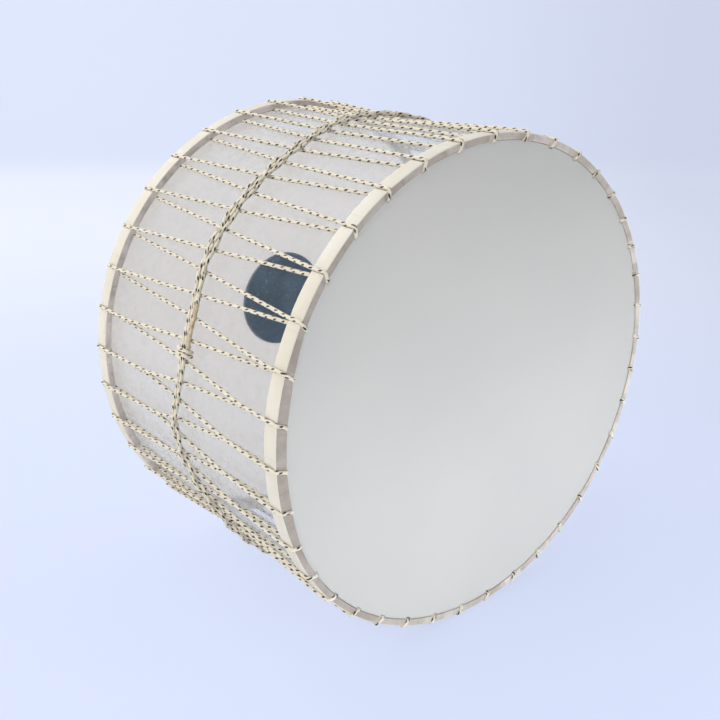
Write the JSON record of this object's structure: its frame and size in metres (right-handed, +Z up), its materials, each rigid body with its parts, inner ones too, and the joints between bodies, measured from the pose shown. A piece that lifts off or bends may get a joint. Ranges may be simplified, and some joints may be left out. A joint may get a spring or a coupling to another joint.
{
  "type": "electronic davul drum",
  "caption": "Two-headed rope-laced davul with a clear plastic shell, wooden hoops, white film heads, a cord belt and a disc pickup inside the rear head.",
  "frame": {"origin": "on the ground below the middle of the drum, at the bottom centre of its bounding box", "axes": "+Y along the drum's axis, from the front head to the rear head; +Z up; the drum lies on its side"},
  "size_m": [0.5291, 0.3446, 0.5288],
  "materials": {
    "clear_plastic": "clear polished sheet, slightly wavy",
    "film": "white coated drum film, satin",
    "hoop_wood": "pale wood, worn grey-brown on the end faces",
    "cord": "cream braid with dark tracer threads",
    "pickup_plastic": "dark slate blue, smooth",
    "pickup_foam": "closed-cell foam, matt"
  },
  "bodies": {
    "root": {"shell": "clear_plastic", "shell_joint_strip": "clear_plastic", "front_head": "film", "rear_head": "film", "front_hoop": "hoop_wood", "rear_hoop": "hoop_wood", "lacing_cord": "cord", "belt_cord": "cord", "tie_whipping": "cord", "pickup_disc": "pickup_plastic", "pickup_pad": "pickup_foam"}
  },
  "joints": []
}
